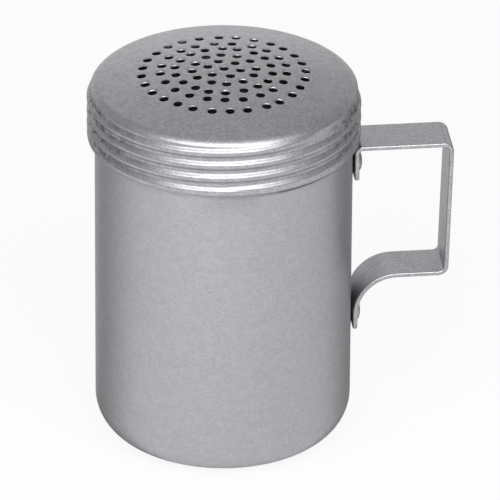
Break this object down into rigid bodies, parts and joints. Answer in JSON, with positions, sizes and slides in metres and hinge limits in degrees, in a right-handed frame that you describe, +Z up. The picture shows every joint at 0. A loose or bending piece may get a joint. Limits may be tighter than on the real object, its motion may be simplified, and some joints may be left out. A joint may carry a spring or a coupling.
{
  "type": "sugar dredger",
  "caption": "Cylindrical metal sugar dredger with a rounded base corner, a screw-on domed lid pierced with rings of holes, and a riveted strap handle.",
  "frame": {"origin": "centre of the base, on the surface that it stands on", "axes": "+Z up along the cup's axis, +X towards the handle, +Y across the handle"},
  "size_m": [0.0936, 0.07, 0.102],
  "materials": {
    "container_sheet": "satin, fine grain round the cup",
    "lid_sheet": "satin, fine grain round the lid, brighter thread",
    "strap": "satin, grain along the strap",
    "rivets": "satin"
  },
  "bodies": {
    "container": {"container": "container_sheet", "handle": "strap", "upper_rivet": "rivets", "lower_rivet": "rivets"},
    "lip_ring": {"rolled_lip": "container_sheet"},
    "lid": {"lid": "lid_sheet"}
  },
  "joints": [
    {"name": "lid_turn", "type": "hinge", "parent": "container", "child": "lip_ring", "pos_m": [0, 0, 0.0957], "axis": [0, 0, 1], "range_deg": [0, 1620]},
    {"name": "lid_rise", "type": "slide", "parent": "lip_ring", "child": "lid", "axis": [0, 0, 1], "range_m": [0, 0.016]}
  ],
  "couplings": [
    {"joint": "lid_rise", "follows": "lid_turn", "m_per_rad": 0.000565}
  ]
}
